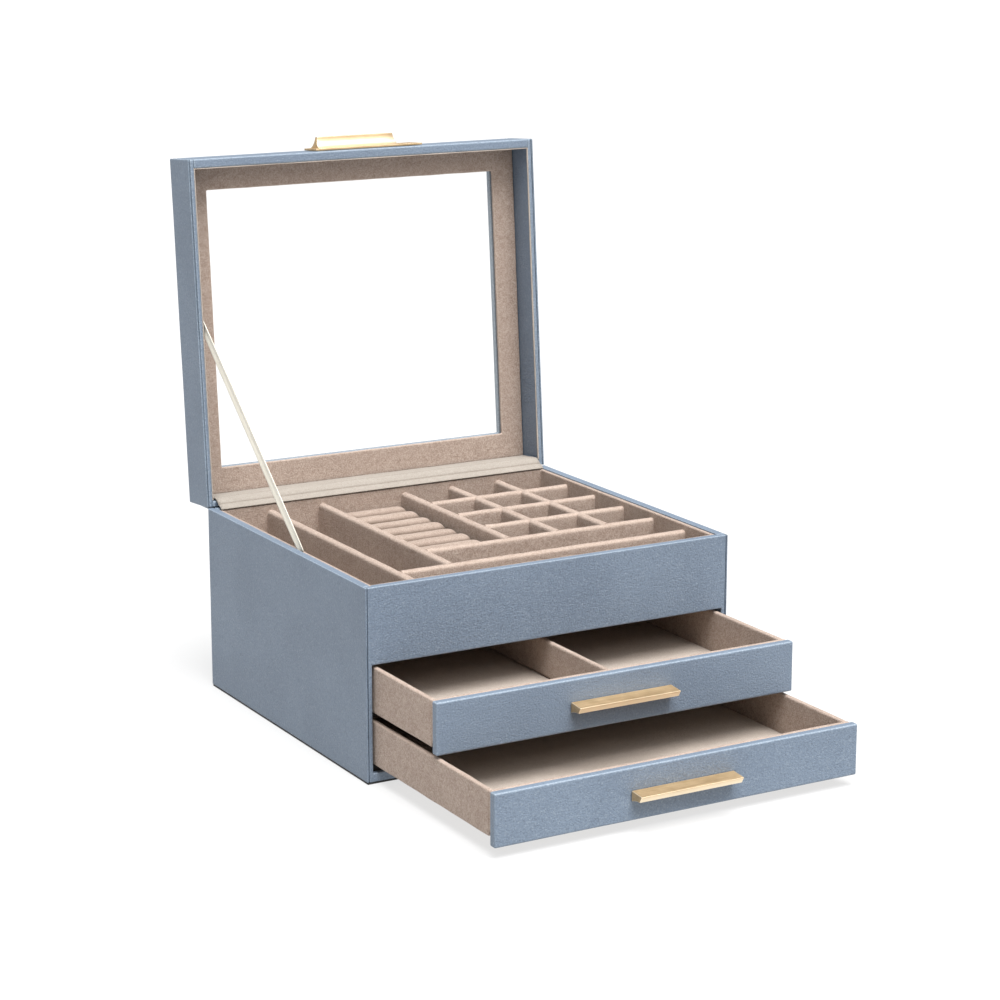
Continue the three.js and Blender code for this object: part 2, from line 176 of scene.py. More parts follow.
# one socket of a node tree; arithmetic on it adds Math nodes
class Wire:
    def __init__(self, book, socket):
        self.book = book
        self.socket = socket

    def __add__(self, other):
        return self.book.math("ADD", self, other)

    def __radd__(self, other):
        return self.book.math("ADD", other, self)

    def __sub__(self, other):
        return self.book.math("SUBTRACT", self, other)

    def __rsub__(self, other):
        return self.book.math("SUBTRACT", other, self)

    def __mul__(self, other):
        return self.book.math("MULTIPLY", self, other)

    def __rmul__(self, other):
        return self.book.math("MULTIPLY", other, self)

    def __pow__(self, other):
        return self.book.math("POWER", self, other)

    def clamped(self):
        return self.book.math("ADD", self, 0.0, use_clamp=True)


# a node tree that nodes are added to, settings first and then sockets
class NodeBook:
    def __init__(self, tree):
        self.tree = tree

    def add(self, kind, settings=None, sockets=None, out=0):
        node = self.tree.nodes.new(kind)
        for key, value in (settings or {}).items():
            setattr(node, key, value)
        for key, value in (sockets or {}).items():
            socket = node.inputs[key]
            if isinstance(value, Wire):
                self.tree.links.new(value.socket, socket)
            else:
                socket.default_value = value
        return Wire(self, node.outputs[out])

    def math(self, operation, *values, **settings):
        return self.add("ShaderNodeMath", {"operation": operation, **settings}, dict(enumerate(values)))


# a surface being written: its coordinates, patterns and the final shader
class Finish(NodeBook):
    def __init__(self, name, place="Object"):
        self.material = bpy.data.materials.new(name)
        self.material.use_nodes = True
        super().__init__(self.material.node_tree)
        self.tree.nodes.clear()
        self.output = self.tree.nodes.new("ShaderNodeOutputMaterial")
        coordinates = self.tree.nodes.new("ShaderNodeTexCoord")
        self.place = Wire(self, coordinates.outputs[place])

    def stretched(self, scale):
        return self.add("ShaderNodeMapping", {}, {"Vector": self.place, "Scale": scale})

    def noise(self, size, detail=2.0, roughness=0.5, vector=None, distortion=0.0):
        sockets = {
            "Vector": vector or self.place,
            "Scale": 1 / size,
            "Detail": detail,
            "Roughness": roughness,
            "Distortion": distortion,
        }
        return self.add("ShaderNodeTexNoise", {}, sockets)

    def cells(self, size, feature, vector=None):
        sockets = {"Vector": vector or self.place, "Scale": 1 / size}
        return self.add("ShaderNodeTexVoronoi", {"feature": feature}, sockets)

    def steps(self, value, low, high):
        span = {"From Min": low, "From Max": high, "Value": value}
        return self.add("ShaderNodeMapRange", {"interpolation_type": "SMOOTHSTEP"}, span)

    def mixed(self, share, first, second):
        return self.add("ShaderNodeMix", {"data_type": "RGBA"}, {0: share, 6: first, 7: second}, out=2)

    def attribute(self, name):
        return self.add("ShaderNodeAttribute", {"attribute_name": name}, {}, out=2)

    def bump(self, height, distance, strength=1.0, under=None):
        sockets = {"Strength": strength, "Distance": distance, "Height": height}
        if under is not None:
            sockets["Normal"] = under
        return self.add("ShaderNodeBump", {}, sockets)

    def shade(self, **sockets):
        named = {key.replace("_", " "): value for key, value in sockets.items()}
        shader = self.add("ShaderNodeBsdfPrincipled", {}, named)
        self.tree.links.new(shader.socket, self.output.inputs["Surface"])
        return self.material


# finishes, each with its colours in a dictionary
leatherLook = {
    "base": (0.157, 0.203, 0.268, 1),
    "shade": (0.137, 0.179, 0.240, 1),
    "pore": (0.086, 0.108, 0.142, 1),
    "fleck": (0.265, 0.312, 0.362, 1),
    # pale colour for rounded edges, partly wear and partly a painted highlight
    "worn": (0.37, 0.44, 0.505, 1),
    "grain": 1.2 * mm,
    "cloud": 60 * mm,
    "wave": 11 * mm,
}


def makeLeather():
    f = Finish("leatherette")
    pebbles = f.cells(leatherLook["grain"], "SMOOTH_F1")
    creases = f.cells(leatherLook["grain"] * 1.5, "DISTANCE_TO_EDGE", f.stretched((1, 1, 1.25)))
    fine = f.noise(leatherLook["grain"] * 0.8, detail=3, roughness=0.65)
    clouds = f.noise(leatherLook["cloud"])
    tone = f.mixed(f.steps(clouds, 0.3, 0.7), leatherLook["base"], leatherLook["shade"])
    tone = f.mixed(f.steps(fine, 0.52, 0.7) * 0.55, tone, leatherLook["fleck"])
    tone = f.mixed(f.steps(fine, 0.46, 0.3) * 0.65, tone, leatherLook["pore"])
    edge = f.attribute("edge")
    # rounded edges painted paler: wear mottled by the grain, plus a painted highlight where edges look up
    scuffAndHighlight = (edge * (0.35 + f.steps(fine, 0.35, 0.65) * 0.45)).clamped()
    tone = f.mixed(scuffAndHighlight, tone, leatherLook["worn"])
    rough = 0.44 + fine * 0.16 - edge * 0.06
    small = f.bump(pebbles * 0.5 + fine * 0.5, 0.4 * mm, 0.8)
    relief = f.bump(f.steps(creases, 0.0, 0.16), 0.16 * mm, 0.6, small)
    waves = f.noise(leatherLook["wave"], vector=f.stretched((0.6, 1, 1)))
    relief = f.bump(waves, 0.5 * mm, 0.55, relief)
    return f.shade(
        Base_Color=tone,
        Roughness=rough,
        Normal=relief,
        Specular_IOR_Level=0.5,
        Coat_Weight=0.1,
        Coat_Roughness=0.4,
    )


velvetLook = {
    "lit": (0.480, 0.388, 0.328, 1),
    "deep": (0.262, 0.188, 0.150, 1),
    "ringLit": (0.440, 0.354, 0.298, 1),
    "ringDeep": (0.255, 0.186, 0.150, 1),
    "suedeLit": (0.530, 0.462, 0.405, 1),
    "suedeDeep": (0.385, 0.322, 0.272, 1),
    "hingeLit": (0.385, 0.347, 0.306, 1),
    "hingeDeep": (0.285, 0.250, 0.215, 1),
    # painted shade: the dark colour laid into creases and fold seams
    "fold": (0.10, 0.068, 0.048, 1),
    "sheen": (1.0, 0.95, 0.9, 1),
    "pile": 0.8 * mm,
    "brush": 19 * mm,
}


# velvet in the two shades named after kind, its pile a share of the lining's
def makeVelvet(name, kind="", fineness=1.0):
    lit = velvetLook[kind + "Lit" if kind else "lit"]
    deep = velvetLook[kind + "Deep" if kind else "deep"]
    pile = velvetLook["pile"] * fineness
    f = Finish(name)
    fibres = f.noise(pile, detail=4, roughness=0.75)
    tufts = f.noise(pile * 3.0, detail=2, roughness=0.6, distortion=0.6)
    brushed = f.noise(velvetLook["brush"], detail=3, roughness=0.6, distortion=1.4)
    nap = f.steps(fibres, 0.38, 0.6) * 0.62
    nap = nap + f.steps(tufts, 0.32, 0.68) * 0.24 + f.steps(brushed, 0.3, 0.7) * 0.14
    tone = f.mixed(nap.clamped(), deep, lit)
    edge = f.attribute("edge")
    # painted highlight: rounded edges and tops lightened towards a paler lit colour
    tone = f.mixed(edge * 0.3, tone, tuple(min(1, c * 1.25) for c in lit[:3]) + (1,))
    # painted shade: darkened where the fold attribute marks creases
    tone = f.mixed(f.attribute("fold") * 0.9, tone, velvetLook["fold"])
    relief = f.bump(fibres * 0.8 + tufts * 0.4 + brushed * 0.5, 0.8 * mm, 0.8)
    return f.shade(
        Base_Color=tone,
        Roughness=0.95 - nap * 0.1,
        Normal=relief,
        Specular_IOR_Level=0.1,
        Sheen_Weight=0.14,
        Sheen_Roughness=0.5,
        Sheen_Tint=velvetLook["sheen"],
    )


goldLook = {
    "dark": (0.50, 0.335, 0.17, 1),
    "light": (0.80, 0.59, 0.345, 1),
    # pale colour for rounded edges: partly polish, partly a painted highlight
    "edge": (1.0, 0.87, 0.66, 1),
}


def makeGold():
    f = Finish("satinGold")
    lines = f.noise(1 * mm, detail=3, roughness=0.75, vector=f.stretched((0.03, 2.2, 2.2)))
    cloud = f.noise(9 * mm, detail=2)
    edge = f.attribute("edge")
    brush = f.steps(lines, 0.3, 0.7) * 0.6 + f.steps(cloud, 0.3, 0.7) * 0.4
    tone = f.mixed(brush, goldLook["dark"], goldLook["light"])
    # edges painted paler: partly polish, partly a painted highlight
    tone = f.mixed(edge * 0.9, tone, goldLook["edge"])
    relief = f.bump(lines, 0.03 * mm, 0.45)
    rough = 0.43 + lines * 0.18 - edge * 0.15
    return f.shade(Base_Color=tone, Metallic=0.9, Roughness=rough, Normal=relief)


glassLook = {"tint": (0.93, 0.98, 0.975, 1), "smudge": 24 * mm}


def makeGlass():
    f = Finish("windowPane")
    smudge = f.steps(f.noise(glassLook["smudge"], detail=3, roughness=0.6, distortion=0.8), 0.5, 0.75)
    return f.shade(
        Base_Color=glassLook["tint"],
        Roughness=0.02 + smudge * 0.05,
        Alpha=0.07 + smudge * 0.02,
        IOR=1.5,
        Specular_IOR_Level=0.7,
    )


satinLook = {"shade": (0.62, 0.58, 0.49, 1), "light": (0.77, 0.735, 0.645, 1), "weft": 60}


def makeSatin():
    f = Finish("satinRibbon", "UV")
    warp = f.noise(1, detail=1, vector=f.stretched((30, 8, 1)))
    sockets = {"Vector": f.place, "Scale": satinLook["weft"], "Distortion": 0.4}
    weft = f.add("ShaderNodeTexWave", {"bands_direction": "Y"}, sockets)
    tone = f.mixed(f.steps(warp, 0.3, 0.7), satinLook["shade"], satinLook["light"])
    relief = f.bump(weft * 0.6 + warp * 0.4, 0.05 * mm, 0.4)
    return f.shade(
        Base_Color=tone,
        Roughness=0.36 + weft * 0.12,
        Normal=relief,
        Sheen_Weight=0.25,
        Sheen_Roughness=0.3,
        Specular_IOR_Level=0.55,
    )


darkLook = {
    "board": (0.022, 0.02, 0.02, 1),
    "boardFleck": (0.05, 0.047, 0.046, 1),
    "felt": (0.008, 0.008, 0.009, 1),
    "feltFibre": (0.03, 0.03, 0.032, 1),
}


def makeBoard():
    f = Finish("darkBoard")
    flecks = f.noise(0.5 * mm, detail=3, roughness=0.7)
    tone = f.mixed(f.steps(flecks, 0.35, 0.7), darkLook["board"], darkLook["boardFleck"])
    relief = f.bump(flecks, 0.08 * mm, 0.4)
    return f.shade(Base_Color=tone, Roughness=0.82 + flecks * 0.1, Normal=relief)


def makeFelt():
    f = Finish("baseFelt")
    fibres = f.noise(0.6 * mm, detail=5, roughness=0.75, distortion=2.0)
    tone = f.mixed(fibres, darkLook["felt"], darkLook["feltFibre"])
    relief = f.bump(fibres, 0.2 * mm, 0.6)
    return f.shade(Base_Color=tone, Roughness=0.9 + fibres * 0.08, Normal=relief, Sheen_Weight=0.15)


finishes = {
    "leatherette": makeLeather(),
    "velvet": makeVelvet("velvet"),
    "ring_foam": makeVelvet("ringVelvet", "ring", 0.8),
    "dark_board": makeBoard(),
    "base_felt": makeFelt(),
    "brass": makeGold(),
    "suede": makeVelvet("lightSuede", "suede", 0.7),
    "hinge_suede": makeVelvet("hingeSuede", "hinge", 0.7),
    "glass": makeGlass(),
    "satin": makeSatin(),
}
print("finishes ready")


# a mesh made a piece, with its finish, the body it rides on and the CAD nodes it stands for
def newPiece(name, bm, slot, body=None, nodes=(), finish=None):
    bmesh.ops.recalc_face_normals(bm, faces=bm.faces)
    mesh = bpy.data.meshes.new(name)
    bm.to_mesh(mesh)
    bm.free()
    for polygon in mesh.polygons:
        polygon.use_smooth = True
        polygon.material_index = 0
    mesh.materials.append(finishes[finish or slot])
    piece = bpy.data.objects.new(name, mesh)
    scene.collection.objects.link(piece)
    if body:
        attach(piece, body)
    if nodes:
        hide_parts(*nodes)
    return piece


# a body filled where solid(x, y, z) holds for the middle of a cell between the cuts
def addCells(bm, cuts, solid):
    filled = set()
    for cell in itertools.product(*[range(len(line) - 1) for line in cuts]):
        if solid(*[(line[i] + line[i + 1]) / 2 for line, i in zip(cuts, cell)]):
            filled.add(cell)
    corners = {}

    def corner(index):
        if index not in corners:
            corners[index] = bm.verts.new([cuts[a][index[a]] for a in range(3)])
        return corners[index]

    for cell in sorted(filled):
        for axis, side in itertools.product(range(3), (0, 1)):
            beside = list(cell)
            beside[axis] += 2 * side - 1
            if tuple(beside) in filled:
                continue
            loop = []
            for du, dv in ((0, 0), (1, 0), (1, 1), (0, 1)):
                index = list(cell)
                index[axis] += side
                index[(axis + 1) % 3] += du
                index[(axis + 2) % 3] += dv
                loop.append(corner(tuple(index)))
            bm.faces.new(loop if side else loop[::-1])


sharpFold = 0.5  # radians between two faces, past which their edge is rounded
hair = 0.001 * mm  # points this close are one


def roundEdges(bm, radius, segments):
    bm.normal_update()
    sharp = [e for e in bm.edges if len(e.link_faces) == 2 and e.calc_face_angle() > sharpFold]
    bmesh.ops.bevel(
        bm, geom=sharp, offset=radius, segments=segments, profile=0.5, affect="EDGES", clamp_overlap=True
    )


def cutAcross(bm, axis, value):
    place, across = Vector((0, 0, 0)), Vector((0, 0, 0))
    place[axis], across[axis] = value, 1
    whole = bm.verts[:] + bm.edges[:] + bm.faces[:]
    bmesh.ops.bisect_plane(bm, geom=whole, plane_co=place, plane_no=across, dist=hair)


# cuts the flat faces into a grid, with a close line beside every edge so that they shade flat
def gridCut(bm, cuts, cell, beside):
    for axis, line in enumerate(cuts):
        low, high = line[0], line[-1]
        count = max(1, round((high - low) / cell))
        values = [low + (high - low) * i / count for i in range(1, count)]
        close = [value + step for value in line for step in (-beside, beside)]
        values += [value for value in close if low < value < high]
        for value in values:
            cutAcross(bm, axis, value)


edgeLook = {
    "spread": 5,
    "upward": 0.2,  # how far up an edge must look to show all its wear and painted highlight
    "lidShare": 1.0,  # what shows on the other edges
    "caseShare": 0.2,
}


# marks how far each vertex is turned away from its board's flat faces, for wear and a painted
# highlight along edges, with only the share low on edges that don't look up, away from the light
def markEdges(bm, low=1.0):
    layer = bm.verts.layers.float.new("edge")
    bm.normal_update()
    for vertex in bm.verts:
        squareness = max(abs(c) for c in vertex.normal)
        share = 1.0 if vertex.normal.z > edgeLook["upward"] else low
        vertex[layer] = min(1.0, (1 - squareness) * edgeLook["spread"]) * share


# pushes the surface in and out a little, so that it isn't dead flat
def rippled(bm, amount, size, seed):
    offset = Vector((seed * 1.7, seed * 0.9, seed * 2.3))
    bm.normal_update()
    moves = [(v, v.normal * amount * noise.noise(v.co / size + offset)) for v in bm.verts]
    for vertex, move in moves:
        vertex.co += move


boardLooks = {
    "leatherette": {"radius": 0.9 * mm, "segments": 3, "cell": 9 * mm, "ripple": 0.08 * mm, "wave": 34 * mm},
    "velvet": {"radius": 1.1 * mm, "segments": 3, "cell": 6 * mm, "ripple": 0.16 * mm, "wave": 13 * mm},
    "base_felt": {"radius": 0.3 * mm, "segments": 2, "cell": 12 * mm, "ripple": 0.03 * mm, "wave": 9 * mm},
}
boardMargin = 0.5 * mm  # from a rounded edge to the grid's line beside it


# boards wrapped in leatherette or velvet: rounded edges and slightly uneven faces
def wrapped(name, body, nodes, slot, cuts, solid=None, radius=None, matrix=None, finish=None):
    look = boardLooks[slot]
    radius = radius or look["radius"]
    bm = bmesh.new()
    addCells(bm, cuts, solid or (lambda x, y, z: True))
    roundEdges(bm, radius, look["segments"])
    gridCut(bm, cuts, look["cell"], radius + boardMargin)
    markEdges(bm, edgeLook["lidShare" if matrix else "caseShare"])
    rippled(bm, look["ripple"], look["wave"], len(name))
    if matrix is not None:
        bmesh.ops.transform(bm, matrix=matrix, verts=bm.verts)
    newPiece(name, bm, slot, body, nodes, finish)


def cutsOf(low, high):
    return [[low[i], high[i]] for i in range(3)]


# a geometry tree with named inputs, run on a mesh whose result is kept
class Growth(NodeBook):
    kinds = {int: "NodeSocketInt", float: "NodeSocketFloat", tuple: "NodeSocketVector"}

    def __init__(self, name, values):
        super().__init__(bpy.data.node_groups.new(name, "GeometryNodeTree"))
        self.values = values
        face = self.tree.interface
        face.new_socket("Geometry", in_out="OUTPUT", socket_type="NodeSocketGeometry")
        face.new_socket("Geometry", in_out="INPUT", socket_type="NodeSocketGeometry")
        for key, value in values.items():
            face.new_socket(key, in_out="INPUT", socket_type=self.kinds[type(value)])
        self.given = self.tree.nodes.new("NodeGroupInput")
        self.result = self.tree.nodes.new("NodeGroupOutput")

    def __getitem__(self, key):
        return Wire(self, self.given.outputs[key])

    # the outline of a bar with rounded corners
    def roundedBar(self, width, height, radius, count):
        size = {"Width": width, "Height": height}
        outline = self.add("GeometryNodeCurvePrimitiveQuadrilateral", {}, size)
        sockets = {"Curve": outline, "Radius": radius, "Count": count, "Limit Radius": True}
        return self.add("GeometryNodeFilletCurve", {"mode": "POLY"}, sockets)

    def ends(self, geometry, slot):
        real = self.add("GeometryNodeRealizeInstances", {}, {"Geometry": geometry})
        painted = self.add("GeometryNodeSetMaterial", {}, {"Geometry": real, "Material": finishes[slot]})
        self.tree.links.new(painted.socket, self.result.inputs["Geometry"])

    def grown(self, mesh):
        holder = bpy.data.objects.new("holder", mesh)
        scene.collection.objects.link(holder)
        modifier = holder.modifiers.new("growth", "NODES")
        modifier.node_group = self.tree
        for item in self.tree.interface.items_tree:
            if item.in_out == "INPUT" and item.name in self.values:
                modifier[item.identifier] = self.values[item.name]
        bpy.context.view_layer.update()
        evaluated = holder.evaluated_get(bpy.context.evaluated_depsgraph_get())
        made = bpy.data.meshes.new_from_object(evaluated)
        holder.modifiers.remove(modifier)
        bm = bmesh.new()
        bm.from_mesh(made)
        bpy.data.objects.remove(holder)
        bpy.data.meshes.remove(made)
        return bm


# a strip of cloth along a path, wide along across, lifted by rise(along, over) from 0 to 1 each way
# and painted with shade in its folds, darker where the given fold shading nears 1
def clothStrip(path, across, width, thickness, columns, rise, foldShading=None):
    bm = bmesh.new()
    uvLayer = bm.loops.layers.uv.new("UVMap")
    # painted shade in the folds, read by the finish's fold colour
    fold = bm.verts.layers.float.new("fold")
    rows = []
    for i, point in enumerate(path):
        along = (path[min(i + 1, len(path) - 1)] - path[max(i - 1, 0)]).normalized()
        side = across(along, i / (len(path) - 1))
        normal = along.cross(side)
        rows.append([])
        for j in range(columns + 1):
            over = j / columns
            lift = rise(i / (len(path) - 1), over)
            vertex = bm.verts.new(point + side * (over - 0.5) * width + normal * lift)
            vertex[fold] = foldShading(i / (len(path) - 1)) if foldShading else 0.0
            rows[-1].append(vertex)
    for i, j in itertools.product(range(len(path) - 1), range(columns)):
        face = bm.faces.new((rows[i][j], rows[i][j + 1], rows[i + 1][j + 1], rows[i + 1][j]))
        for loop, (u, v) in zip(face.loops, ((j, i), (j + 1, i), (j + 1, i + 1), (j, i + 1))):
            loop[uvLayer].uv = (u / columns, v / (len(path) - 1))
    bm.normal_update()
    bmesh.ops.solidify(bm, geom=bm.faces[:], thickness=thickness)
    return bm


# points along a smooth curve through the given ones
def smoothPath(points, steps):
    points = [Vector(p) for p in points]
    padded = [points[0] * 2 - points[1]] + points + [points[-1] * 2 - points[-2]]
    path = []
    for a, b, c, d in zip(padded, padded[1:], padded[2:], padded[3:]):
        for k in range(steps):
            t = k / steps
            square = (2 * a - 5 * b + 4 * c - d) * t * t
            cube = (3 * b - a - 3 * c + d) * t**3
            path.append(0.5 * (2 * b + (c - a) * t + square + cube))
    return path + [points[-1]]


# case
caseLook = {
    "wrap": 0.95 * mm,  # how far the sides' leather turns round the front corners
    "seam": 0.35 * mm,
    "rim": 1.1 * mm,  # how far the rim's leather turns in over the lining
    "rimFoot": 0.6 * mm,  # of that leather, over the tray floor
    "corner": 0.3 * mm,  # room between the rim's leather on two walls
    "door": 0.3 * mm,  # of the doorway past the drawers
    "frontRadius": 0.7 * mm,
    "lining": 2.1 * mm,
    "liningRadius": 0.95 * mm,
    "padFoot": 0.1 * mm,
    "padTop": 0.05 * mm,
    "padInset": 0.25 * mm,
}
frontLow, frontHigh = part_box("front_frame")
leftLow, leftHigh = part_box("side_panel_left")
rightLow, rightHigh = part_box("side_panel_right")
backLow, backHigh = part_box("back_panel")
trayFloorLow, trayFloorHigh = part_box("tray_floor")
rimFoot = trayFloorHigh.z + caseLook["rimFoot"]
doorTop = trayFloorLow.z - caseLook["door"]
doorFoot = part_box("lower_drawer_front")[0].z - caseLook["door"]
wallInner = rightLow.x
rimX = wallInner - caseLook["rim"] - caseLook["corner"]


def buildSide(node, out):
    wrapX = frontHigh.x - caseLook["wrap"]
    xs = sorted(out * x for x in (frontHigh.x, wrapX, wallInner, wallInner - caseLook["rim"]))
    ys = [frontLow.y, leftLow.y, -leftLow.y, leftHigh.y]

    def solid(x, y, z):
        if abs(x) > wallInner and y > leftLow.y:
            return True
        if abs(x) > wrapX:
            return True
        return abs(x) < wallInner and abs(y) < -leftLow.y and z > rimFoot

    cuts = [xs, ys, [leftLow.z, rimFoot, leftHigh.z]]
    wrapped("case_" + node, "case", (node,), "leatherette", cuts, solid)


buildSide("side_panel_left", -1)
buildSide("side_panel_right", 1)


def buildFront():
    reach = frontHigh.x - caseLook["wrap"] - caseLook["seam"]
    xs = [-reach, -wallInner, -rimX, rimX, wallInner, reach]
    ys = [frontLow.y, frontHigh.y, frontHigh.y + caseLook["rim"]]
    zs = [frontLow.z, doorFoot, doorTop, rimFoot, frontHigh.z]

    def solid(x, y, z):
        if y < frontHigh.y:
            return abs(x) > wallInner or not doorFoot < z < doorTop
        return abs(x) < rimX and z > rimFoot

    radius = caseLook["frontRadius"]
    wrapped("case_front", "case", ("front_frame",), "leatherette", [xs, ys, zs], solid, radius)


def buildBack():
    xs = [backLow.x, -rimX, rimX, backHigh.x]
    ys = [backLow.y - caseLook["rim"], backLow.y, backHigh.y]

    def solid(x, y, z):
        return y > backLow.y or (abs(x) < rimX and z > rimFoot)

    zs = [backLow.z, rimFoot, backHigh.z]
    wrapped("case_back", "case", ("back_panel",), "leatherette", [xs, ys, zs], solid)


def buildBase():
    low = Vector((leftLow.x, frontLow.y, caseLook["padFoot"]))
    high = Vector((rightHigh.x, backHigh.y, leftLow.z - caseLook["padTop"]))
    inset = Vector((caseLook["padInset"], caseLook["padInset"], 0))
    wrapped("base_pad", "case", ("base_felt",), "base_felt", cutsOf(low + inset, high - inset))


buildFront()
buildBack()
buildBase()
print("case ready")


# tray
liningLow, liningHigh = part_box("tray_lining")


def buildLining():
    outerY = liningHigh.y - caseLook["rim"]
    thick = caseLook["lining"]
    xs = [-rimX, thick - rimX, rimX - thick, rimX]
    ys = [-outerY, thick - outerY, outerY - thick, outerY]

    def solid(x, y, z):
        return abs(x) > rimX - thick or abs(y) > outerY - thick

    cuts = [xs, ys, [liningLow.z, liningHigh.z]]
    wrapped("tray_walls", "case", ("tray_lining",), "velvet", cuts, solid, caseLook["liningRadius"])


buildLining()
wrapped("tray_bed", "case", ("tray_floor",), "velvet", cutsOf(trayFloorLow, trayFloorHigh))

partitionLook = {"Thickness": 4.9 * mm, "Rounding": 2.3 * mm, "Softness": 6}
partitionRipple = {"cell": 5 * mm, "rows": 7, "amount": 0.2 * mm, "wave": 9 * mm, "seed": 5}
partitionTuck = 0.35 * mm  # of each end, into what it meets


def buildPartitions():
    nodes = [n for n in frame["nodes"] if n.startswith("partition_")]
    points, lines = [], []
    for node in nodes:
        low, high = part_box(node)
        middle = (low + high) / 2
        axis = 0 if high.x - low.x > high.y - low.y else 1
        for end in (low[axis] - partitionTuck, high[axis] + partitionTuck):
            point = middle.copy()
            point[axis] = end
            points.append(point)
        lines.append((len(points) - 2, len(points) - 1))
    mesh = bpy.data.meshes.new("partitionLines")
    mesh.from_pydata(points, lines, [])
    low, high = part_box(nodes[0])
    g = Growth("partitionGrowth", {**partitionLook, "Height": high.z - low.z})
    curve = g.add("GeometryNodeMeshToCurve", {}, {"Mesh": g["Geometry"]})
    curve = g.add("GeometryNodeSetCurveNormal", {"mode": "Z_UP"}, {"Curve": curve})
    rounded = g.roundedBar(g["Thickness"], g["Height"], g["Rounding"], g["Softness"])
    sockets = {"Curve": curve, "Profile Curve": rounded, "Fill Caps": True}
    board = g.add("GeometryNodeCurveToMesh", {}, sockets)
    g.ends(board, "velvet")
    bm = g.grown(mesh)
    for axis, span in enumerate((liningHigh.x, liningHigh.y)):
        count = round(2 * span / partitionRipple["cell"])
        for i in range(1, count):
            cutAcross(bm, axis, span * (2 * i / count - 1))
    for i in range(1, partitionRipple["rows"]):
        cutAcross(bm, 2, low.z + (high.z - low.z) * i / partitionRipple["rows"])
    markEdges(bm)
    rippled(bm, partitionRipple["amount"], partitionRipple["wave"], partitionRipple["seed"])
    newPiece("partitions", bm, "velvet", "case", nodes)


buildPartitions()

ringLook = {"Sink": 0.7 * mm, "Turn": 0.014, "Rounding": 7.6 * mm, "Seed": 4}
ringSoft = {
    # painted shade between the rolls: how deep below the tops it starts and how fast it grows
    "foldStart": 0.55,
    "foldDepth": 1.9 * mm,
    "spareLength": 0.4 * mm,
    "spareWidth": 0.2 * mm,
    "dome": 13.0,  # how square the rolls' ends are
    "steps": 65,
    "ripple": 0.22 * mm,
    "wave": 8 * mm,
    "seed": 3,
}


def buildRings():
    nodes = sorted(n for n in frame["nodes"] if n.startswith("ring_roll_"))
    boxes = [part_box(n) for n in nodes]
    low, high = boxes[0]
    pitch = (boxes[-1][0].y - low.y) / (len(nodes) - 1)
    values = {
        **ringLook,
        "Count": len(nodes),
        "Start": tuple((low + high) / 2),
        "Step": (0.0, pitch, 0.0),
        "Length": high.x - low.x + ringSoft["spareLength"],
        "Width": high.y - low.y + ringSoft["spareWidth"],
        "Height": high.z - low.z,
    }
    g = Growth("ringRow", values)
    half = g["Length"] * 0.5
    start = g.add("ShaderNodeCombineXYZ", {}, {"X": half * -1.0})
    end = g.add("ShaderNodeCombineXYZ", {}, {"X": half})
    line = g.add("GeometryNodeCurvePrimitiveLine", {}, {"Start": start, "End": end})
    line = g.add("GeometryNodeResampleCurve", {}, {"Curve": line, "Count": ringSoft["steps"]})
    line = g.add("GeometryNodeSetCurveNormal", {"mode": "Z_UP"}, {"Curve": line})
    along = g.add("GeometryNodeSplineParameter")
    fromMiddle = g.math("ABSOLUTE", along * 2.0 - 1.0)
    dome = g.math("SQRT", 1.0 - fromMiddle ** ringSoft["dome"])
    rounded = g.roundedBar(g["Width"], g["Height"], g["Rounding"], 9)
    roll = g.add("GeometryNodeCurveToMesh", {}, {"Curve": line, "Profile Curve": rounded, "Scale": dome})
    roll = g.add("GeometryNodeMergeByDistance", {}, {"Geometry": roll, "Distance": 0.05 * mm})
    sockets = {"Count": g["Count"], "Start Location": g["Start"], "Offset": g["Step"]}
    row = g.add("GeometryNodeMeshLine", {}, sockets)
    sink = g.add("FunctionNodeRandomValue", {}, {2: 0.0, 3: g["Sink"], "Seed": g["Seed"]}, out=1)
    lowered = g.add("ShaderNodeCombineXYZ", {}, {"Z": sink * -1.0})
    row = g.add("GeometryNodeSetPosition", {}, {"Geometry": row, "Offset": lowered})
    tilt = g.add("FunctionNodeRandomValue", {}, {2: -1.0, 3: 0.2, "Seed": g["Seed"] + 3.0}, out=1)
    yaw = g.add("FunctionNodeRandomValue", {}, {2: -0.6, 3: 0.6, "Seed": g["Seed"] + 9.0}, out=1)
    turn = g.add("ShaderNodeCombineXYZ", {}, {"Y": tilt * g["Turn"], "Z": yaw * g["Turn"]})
    rolls = g.add("GeometryNodeInstanceOnPoints", {}, {"Points": row, "Instance": roll, "Rotation": turn})
    g.ends(rolls, "ring_foam")
    bm = g.grown(bpy.data.meshes.new("ringSeed"))
    # painted shade in the creases between rolls, darker the deeper below their tops
    fold = bm.verts.layers.float.new("fold")
    for vertex in bm.verts:
        depth = (high.z - vertex.co.z) / ringSoft["foldDepth"]
        vertex[fold] = min(1.0, max(0.0, depth - ringSoft["foldStart"]))
    rippled(bm, ringSoft["ripple"], ringSoft["wave"], ringSoft["seed"])
    piece = newPiece("ring_rolls", bm, "ring_foam", "case", nodes)


buildRings()
print("tray ready")


# pulls: an outline in y and z is drawn out along x
def addExtrusion(bm, outline, low, high):
    ends = [[bm.verts.new((x, y, z)) for y, z in outline] for x in (low, high)]
    bm.faces.new(ends[0])
    bm.faces.new(ends[1][::-1])
    count = len(outline)
    for i in range(count):
        j = (i + 1) % count
        bm.faces.new((ends[0][j], ends[0][i], ends[1][i], ends[1][j]))
    bm.normal_update()


# points of a curve from one to another, bent towards a third
def bentLine(first, bend, last, steps):
    points = []
    for k in range(steps + 1):
        t = k / steps
        shares = ((1 - t) ** 2, 2 * t * (1 - t), t * t)
        points.append([shares[0] * a + shares[1] * b + shares[2] * c for a, b, c in zip(first, bend, last)])
    return points


